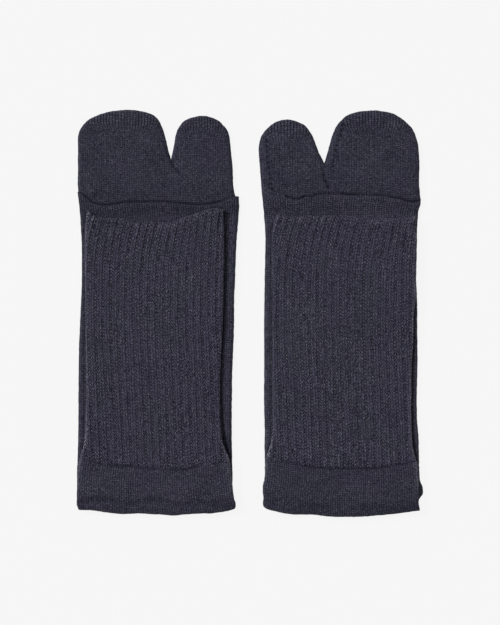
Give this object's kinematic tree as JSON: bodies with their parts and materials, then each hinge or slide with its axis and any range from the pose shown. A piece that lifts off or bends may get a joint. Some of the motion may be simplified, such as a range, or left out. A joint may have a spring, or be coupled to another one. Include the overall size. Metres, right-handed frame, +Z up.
{
  "type": "pair of tabi socks",
  "caption": "Split-toe tabi socks in thick knit, lying side by side sole down, each with its ribbed leg folded flat over the foot.",
  "frame": {"origin": "on the ground under the middle of the pair's bounding box", "axes": "+Y from the heel folds to the toes, +X across the pair with the left foot's sock on the -X side, +Z up from the soles"},
  "size_m": [0.2122, 0.2498, 0.0079],
  "materials": {
    "pile_knit": "matte plain knit with a pile inside, charcoal navy",
    "rib_knit": "matte rib knit, charcoal navy"
  },
  "bodies": {
    "root": {"left_four_toes": "pile_knit", "left_big_toe": "pile_knit", "left_foot": "pile_knit", "left_heel": "pile_knit", "left_leg": "rib_knit", "right_four_toes": "pile_knit", "right_big_toe": "pile_knit", "right_foot": "pile_knit", "right_heel": "pile_knit", "right_leg": "rib_knit"}
  },
  "joints": []
}
